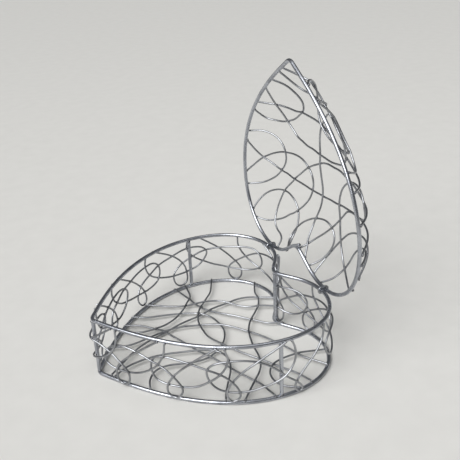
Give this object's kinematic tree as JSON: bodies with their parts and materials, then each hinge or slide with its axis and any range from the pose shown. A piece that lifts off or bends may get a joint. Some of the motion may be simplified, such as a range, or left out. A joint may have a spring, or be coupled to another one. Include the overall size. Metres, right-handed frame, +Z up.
{
  "type": "heart-shaped wire box",
  "caption": "Open wire box shaped like a heart, with scrollwork floor and wall and a domed wire lid that turns on ring hinges at the back and stands open.",
  "frame": {"origin": "on the ground under the box, halfway between the front and the back of the whole piece with its lid open", "axes": "+X from the tip of the heart to its lobes and the hinged back, +Y across the heart to its left lobe, +Z up"},
  "size_m": [0.2604, 0.2493, 0.2852],
  "materials": {
    "rim_steel": "satin, zinc plated thick wire with soft bright lines along it",
    "scroll_steel": "satin, zinc plated thin wire, a little darker than the thick wire"
  },
  "bodies": {
    "box": {"base_rim": "rim_steel", "floor_scroll_01": "scroll_steel", "floor_scroll_02": "scroll_steel", "floor_scroll_03": "scroll_steel", "floor_scroll_04": "scroll_steel", "floor_scroll_05": "scroll_steel", "floor_scroll_06": "scroll_steel", "floor_scroll_07": "scroll_steel", "floor_scroll_08": "scroll_steel", "floor_scroll_09": "scroll_steel", "floor_scroll_10": "scroll_steel", "floor_scroll_11": "scroll_steel", "post_cleft": "rim_steel", "post_left": "rim_steel", "post_right": "rim_steel", "post_tip": "rim_steel", "top_rim": "rim_steel", "wall_scroll_01": "scroll_steel", "wall_scroll_02": "scroll_steel", "wall_scroll_03": "scroll_steel", "wall_scroll_04": "scroll_steel", "wall_scroll_05": "scroll_steel", "wall_scroll_06": "scroll_steel", "wall_scroll_07": "scroll_steel", "wall_scroll_08": "scroll_steel", "wall_scroll_09": "scroll_steel", "wall_scroll_10": "scroll_steel", "wall_scroll_11": "scroll_steel", "wall_scroll_12": "scroll_steel"},
    "lid": {"hinge_ring_left": "scroll_steel", "hinge_ring_right": "scroll_steel", "lid_rim": "rim_steel", "lid_scroll_01": "scroll_steel", "lid_scroll_02": "scroll_steel", "lid_scroll_03": "scroll_steel", "lid_scroll_04": "scroll_steel", "lid_scroll_05": "scroll_steel", "lid_scroll_06": "scroll_steel", "lid_scroll_07": "scroll_steel", "lid_scroll_08": "scroll_steel", "lid_scroll_09": "scroll_steel", "lid_scroll_10": "scroll_steel", "lid_scroll_11": "scroll_steel", "lid_scroll_12": "scroll_steel", "lid_scroll_13": "scroll_steel", "lid_scroll_14": "scroll_steel", "lid_scroll_15": "scroll_steel"}
  },
  "joints": [
    {"name": "lid_hinge", "type": "hinge", "parent": "box", "child": "lid", "pos_m": [0.0965, 0, 0.06295], "axis": [0, -1, 0], "range_deg": [0, 88]}
  ]
}
